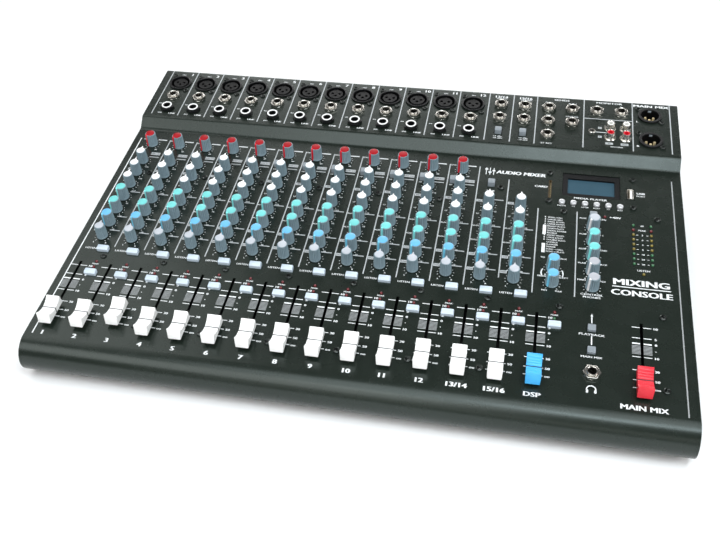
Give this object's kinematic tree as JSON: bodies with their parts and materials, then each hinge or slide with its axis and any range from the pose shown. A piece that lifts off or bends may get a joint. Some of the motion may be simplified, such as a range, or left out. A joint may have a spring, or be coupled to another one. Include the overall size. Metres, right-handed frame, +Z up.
{
  "type": "mixing console",
  "caption": "Table-top audio mixing console with sloping control panel, rounded front edge, rotary knobs, slide faders and a raised connector deck.",
  "frame": {"origin": "under the centre of the bounding box, on the plane the feet stand on", "axes": "+X along the front edge to the right, +Y from the front to the rear, +Z up"},
  "size_m": [0.526, 0.383, 0.0978],
  "materials": {
    "painted_steel": "semi-gloss",
    "black_plastic": "satin",
    "rubber": "matte",
    "screw_steel": "black zinc",
    "nickel": "polished",
    "circuit_board": "solder mask",
    "lamp": "gloss",
    "pale_plastic": "satin",
    "grey_plastic": "satin",
    "silver_plastic": "metallised",
    "slate_plastic": "matte",
    "white_plastic": "satin",
    "blue_plastic": "satin",
    "red_plastic": "satin"
  },
  "bodies": {
    "chassis": {"base_tray": "painted_steel", "control_board": "circuit_board", "display_window": "black_plastic", "input_board": "circuit_board", "insert_jacks": "black_plastic", "left_cheek": "painted_steel", "line_jacks": "nickel", "mains_inlet": "black_plastic", "media_sockets": "nickel", "other_index_knobs": "slate_plastic", "other_pointer_knobs": "slate_plastic", "panel_screws": "screw_steel", "phono_sockets": "nickel", "power_supply": "circuit_board", "push_switches": "black_plastic", "right_cheek": "painted_steel", "rotary_pots": "black_plastic", "rubber_feet": "rubber", "slide_pots": "black_plastic", "status_leds": "lamp", "top_panel": "painted_steel", "xlr_inputs": "black_plastic", "xlr_outputs": "black_plastic"},
    "fader_effects_body": {"fader_effects": "blue_plastic"},
    "fader_main_body": {"fader_main": "red_plastic"},
    "fader_strip_1_body": {"fader_strip_1": "white_plastic"},
    "fader_strip_10_body": {"fader_strip_10": "white_plastic"},
    "fader_strip_11_body": {"fader_strip_11": "white_plastic"},
    "fader_strip_12_body": {"fader_strip_12": "white_plastic"},
    "fader_strip_13_body": {"fader_strip_13": "white_plastic"},
    "fader_strip_14_body": {"fader_strip_14": "white_plastic"},
    "fader_strip_2_body": {"fader_strip_2": "white_plastic"},
    "fader_strip_3_body": {"fader_strip_3": "white_plastic"},
    "fader_strip_4_body": {"fader_strip_4": "white_plastic"},
    "fader_strip_5_body": {"fader_strip_5": "white_plastic"},
    "fader_strip_6_body": {"fader_strip_6": "white_plastic"},
    "fader_strip_7_body": {"fader_strip_7": "white_plastic"},
    "fader_strip_8_body": {"fader_strip_8": "white_plastic"},
    "fader_strip_9_body": {"fader_strip_9": "white_plastic"},
    "effect_knob_1_body": {"effect_knob_1": "slate_plastic"},
    "effect_knob_2_body": {"effect_knob_2": "slate_plastic"},
    "gain_knob_body": {"gain_knob": "slate_plastic"},
    "master_knob_1_body": {"master_knob_1": "slate_plastic"},
    "master_knob_2_body": {"master_knob_2": "slate_plastic"},
    "master_knob_3_body": {"master_knob_3": "slate_plastic"},
    "master_knob_4_body": {"master_knob_4": "slate_plastic"},
    "master_knob_5_body": {"master_knob_5": "slate_plastic"},
    "pan_knob_body": {"pan_knob": "slate_plastic"},
    "send_knob_1_body": {"send_knob_1": "slate_plastic"},
    "send_knob_2_body": {"send_knob_2": "slate_plastic"},
    "send_knob_3_body": {"send_knob_3": "slate_plastic"},
    "tone_knob_4_body": {"tone_knob_4": "slate_plastic"},
    "tone_knob_5_body": {"tone_knob_5": "slate_plastic"},
    "tone_knob_6_body": {"tone_knob_6": "slate_plastic"},
    "listen_buttons_body": {"listen_buttons": "pale_plastic"},
    "mute_buttons_body": {"mute_buttons": "pale_plastic"},
    "low_cut_buttons_body": {"low_cut_buttons": "grey_plastic"},
    "selector_buttons_body": {"selector_buttons": "grey_plastic"},
    "player_buttons_body": {"player_buttons": "silver_plastic"},
    "power_rocker_body": {"power_rocker": "black_plastic"}
  },
  "joints": [
    {"name": "fader_strip_1_slide", "type": "slide", "parent": "chassis", "child": "fader_strip_1_body", "axis": [0, 0.9914, 0.1305], "range_m": [-0.0003, 0.0597]},
    {"name": "fader_strip_2_slide", "type": "slide", "parent": "chassis", "child": "fader_strip_2_body", "axis": [0, 0.9914, 0.1305], "range_m": [-0.0003, 0.0597]},
    {"name": "fader_strip_3_slide", "type": "slide", "parent": "chassis", "child": "fader_strip_3_body", "axis": [0, 0.9914, 0.1305], "range_m": [-0.007, 0.053]},
    {"name": "fader_strip_4_slide", "type": "slide", "parent": "chassis", "child": "fader_strip_4_body", "axis": [0, 0.9914, 0.1305], "range_m": [-0.0003, 0.0597]},
    {"name": "fader_strip_5_slide", "type": "slide", "parent": "chassis", "child": "fader_strip_5_body", "axis": [0, 0.9914, 0.1305], "range_m": [-0.0003, 0.0597]},
    {"name": "fader_strip_6_slide", "type": "slide", "parent": "chassis", "child": "fader_strip_6_body", "axis": [0, 0.9914, 0.1305], "range_m": [-0.0003, 0.0597]},
    {"name": "fader_strip_7_slide", "type": "slide", "parent": "chassis", "child": "fader_strip_7_body", "axis": [0, 0.9914, 0.1305], "range_m": [-0.0003, 0.0597]},
    {"name": "fader_strip_8_slide", "type": "slide", "parent": "chassis", "child": "fader_strip_8_body", "axis": [0, 0.9914, 0.1305], "range_m": [-0.0003, 0.0597]},
    {"name": "fader_strip_9_slide", "type": "slide", "parent": "chassis", "child": "fader_strip_9_body", "axis": [0, 0.9914, 0.1305], "range_m": [-0.0003, 0.0597]},
    {"name": "fader_strip_10_slide", "type": "slide", "parent": "chassis", "child": "fader_strip_10_body", "axis": [0, 0.9914, 0.1305], "range_m": [-0.0003, 0.0597]},
    {"name": "fader_strip_11_slide", "type": "slide", "parent": "chassis", "child": "fader_strip_11_body", "axis": [0, 0.9914, 0.1305], "range_m": [-0.0003, 0.0597]},
    {"name": "fader_strip_12_slide", "type": "slide", "parent": "chassis", "child": "fader_strip_12_body", "axis": [0, 0.9914, 0.1305], "range_m": [-0.0016, 0.0584]},
    {"name": "fader_strip_13_slide", "type": "slide", "parent": "chassis", "child": "fader_strip_13_body", "axis": [0, 0.9914, 0.1305], "range_m": [-0.0003, 0.0597]},
    {"name": "fader_strip_14_slide", "type": "slide", "parent": "chassis", "child": "fader_strip_14_body", "axis": [0, 0.9914, 0.1305], "range_m": [-0.0003, 0.0597]},
    {"name": "fader_effects_slide", "type": "slide", "parent": "chassis", "child": "fader_effects_body", "axis": [0, 0.9914, 0.1305], "range_m": [-0.0003, 0.0597]},
    {"name": "fader_main_slide", "type": "slide", "parent": "chassis", "child": "fader_main_body", "axis": [0, 0.9914, 0.1305], "range_m": [-0.0003, 0.0597]},
    {"name": "gain_knob_turn", "type": "hinge", "parent": "chassis", "child": "gain_knob_body", "pos_m": [-0.2413, 0.07387, 0.07689], "axis": [0, 0.1305, -0.9914], "range_deg": [0, 280]},
    {"name": "tone_knob_4_turn", "type": "hinge", "parent": "chassis", "child": "tone_knob_4_body", "pos_m": [-0.2413, 0.0116, 0.0687], "axis": [0, 0.1305, -0.9914], "range_deg": [-140, 140]},
    {"name": "tone_knob_5_turn", "type": "hinge", "parent": "chassis", "child": "tone_knob_5_body", "pos_m": [-0.2413, 0.02925, 0.07102], "axis": [0, 0.1305, -0.9914], "range_deg": [-140, 140]},
    {"name": "tone_knob_6_turn", "type": "hinge", "parent": "chassis", "child": "tone_knob_6_body", "pos_m": [-0.2413, 0.0469, 0.07334], "axis": [0, 0.1305, -0.9914], "range_deg": [-140, 140]},
    {"name": "send_knob_1_turn", "type": "hinge", "parent": "chassis", "child": "send_knob_1_body", "pos_m": [-0.2413, -0.04134, 0.06172], "axis": [0, 0.1305, -0.9914], "range_deg": [0, 280]},
    {"name": "send_knob_2_turn", "type": "hinge", "parent": "chassis", "child": "send_knob_2_body", "pos_m": [-0.2413, -0.02369, 0.06405], "axis": [0, 0.1305, -0.9914], "range_deg": [0, 280]},
    {"name": "send_knob_3_turn", "type": "hinge", "parent": "chassis", "child": "send_knob_3_body", "pos_m": [-0.2413, -0.00604, 0.06637], "axis": [0, 0.1305, -0.9914], "range_deg": [0, 280]},
    {"name": "pan_knob_turn", "type": "hinge", "parent": "chassis", "child": "pan_knob_body", "pos_m": [-0.2413, -0.05899, 0.0594], "axis": [0, 0.1305, -0.9914], "range_deg": [-140, 140]},
    {"name": "effect_knob_1_turn", "type": "hinge", "parent": "chassis", "child": "effect_knob_1_body", "pos_m": [0.1537, -0.05899, 0.0594], "axis": [0, 0.1305, -0.9914], "range_deg": [0, 280]},
    {"name": "effect_knob_2_turn", "type": "hinge", "parent": "chassis", "child": "effect_knob_2_body", "pos_m": [0.1537, -0.04134, 0.06172], "axis": [0, 0.1305, -0.9914], "range_deg": [0, 280]},
    {"name": "master_knob_1_turn", "type": "hinge", "parent": "chassis", "child": "master_knob_1_body", "pos_m": [0.1859, -0.05899, 0.0594], "axis": [0, 0.1305, -0.9914], "range_deg": [0, 280]},
    {"name": "master_knob_2_turn", "type": "hinge", "parent": "chassis", "child": "master_knob_2_body", "pos_m": [0.1859, -0.04134, 0.06172], "axis": [0, 0.1305, -0.9914], "range_deg": [0, 280]},
    {"name": "master_knob_3_turn", "type": "hinge", "parent": "chassis", "child": "master_knob_3_body", "pos_m": [0.1859, -0.02369, 0.06405], "axis": [0, 0.1305, -0.9914], "range_deg": [0, 280]},
    {"name": "master_knob_4_turn", "type": "hinge", "parent": "chassis", "child": "master_knob_4_body", "pos_m": [0.1859, -0.00604, 0.06637], "axis": [0, 0.1305, -0.9914], "range_deg": [0, 280]},
    {"name": "master_knob_5_turn", "type": "hinge", "parent": "chassis", "child": "master_knob_5_body", "pos_m": [0.1859, 0.0116, 0.0687], "axis": [0, 0.1305, -0.9914], "range_deg": [0, 280]},
    {"name": "listen_buttons_press", "type": "slide", "parent": "chassis", "child": "listen_buttons_body", "axis": [0, 0.1305, -0.9914], "range_m": [0, 0.0015]},
    {"name": "mute_buttons_press", "type": "slide", "parent": "chassis", "child": "mute_buttons_body", "axis": [0, 0.1305, -0.9914], "range_m": [0, 0.0015]},
    {"name": "low_cut_buttons_press", "type": "slide", "parent": "chassis", "child": "low_cut_buttons_body", "axis": [0, 0.1305, -0.9914], "range_m": [0, 0.002]},
    {"name": "selector_buttons_press", "type": "slide", "parent": "chassis", "child": "selector_buttons_body", "axis": [0, 0.1305, -0.9914], "range_m": [0, 0.0012]},
    {"name": "player_buttons_press", "type": "slide", "parent": "chassis", "child": "player_buttons_body", "axis": [0, 0.1305, -0.9914], "range_m": [0, 0.001], "stiffness_N_per_m": 600, "springref_m": -0.0005},
    {"name": "power_rocker_turn", "type": "hinge", "parent": "chassis", "child": "power_rocker_body", "pos_m": [0.16, 0.18606, 0.044], "axis": [-1, 0, 0], "range_deg": [0, 14]}
  ]
}
